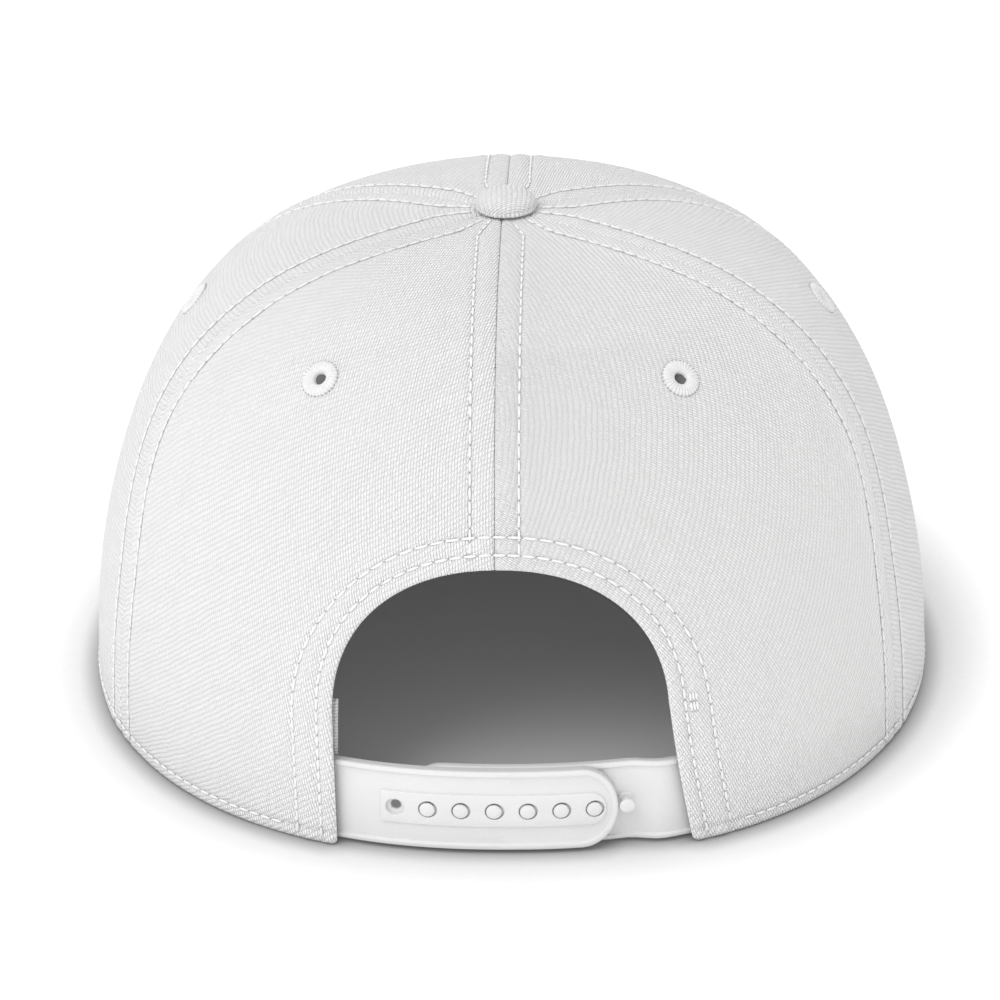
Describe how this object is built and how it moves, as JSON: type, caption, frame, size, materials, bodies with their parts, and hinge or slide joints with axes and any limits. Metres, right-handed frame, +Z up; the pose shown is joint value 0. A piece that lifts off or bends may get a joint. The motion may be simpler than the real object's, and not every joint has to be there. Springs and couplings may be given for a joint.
{
  "type": "snapback cap with a flat visor",
  "caption": "White snapback cap: panelled cloth crown with a cloth button and eyelets, flat visor, arched back opening closed by a plastic snap strap.",
  "frame": {"origin": "middle of the bounding box at the bottom, where the rim and the visor rest", "axes": "+Z up through the button, +Y towards the back with the strap, -Y towards the visor"},
  "size_m": [0.19, 0.2522, 0.1107],
  "materials": {
    "twill": "white cotton twill with fine slanting ribs, matt",
    "thread": "white stitched thread, slightly brighter than the cloth",
    "sweatband": "white cotton band with fine ribs, matt",
    "strap": "white flexible plastic with a fine matt grain"
  },
  "bodies": {
    "root": {"button": "twill", "eyelet_back_left": "thread", "eyelet_back_right": "thread", "eyelet_front_left": "thread", "eyelet_front_right": "thread", "eyelet_side_left": "thread", "eyelet_side_right": "thread", "panel_back_left": "twill", "panel_back_right": "twill", "panel_front_left": "twill", "panel_front_right": "twill", "panel_side_left": "twill", "panel_side_right": "twill", "strap_with_holes": "strap", "strap_with_studs": "strap", "sweatband": "sweatband", "visor": "twill"}
  },
  "joints": []
}
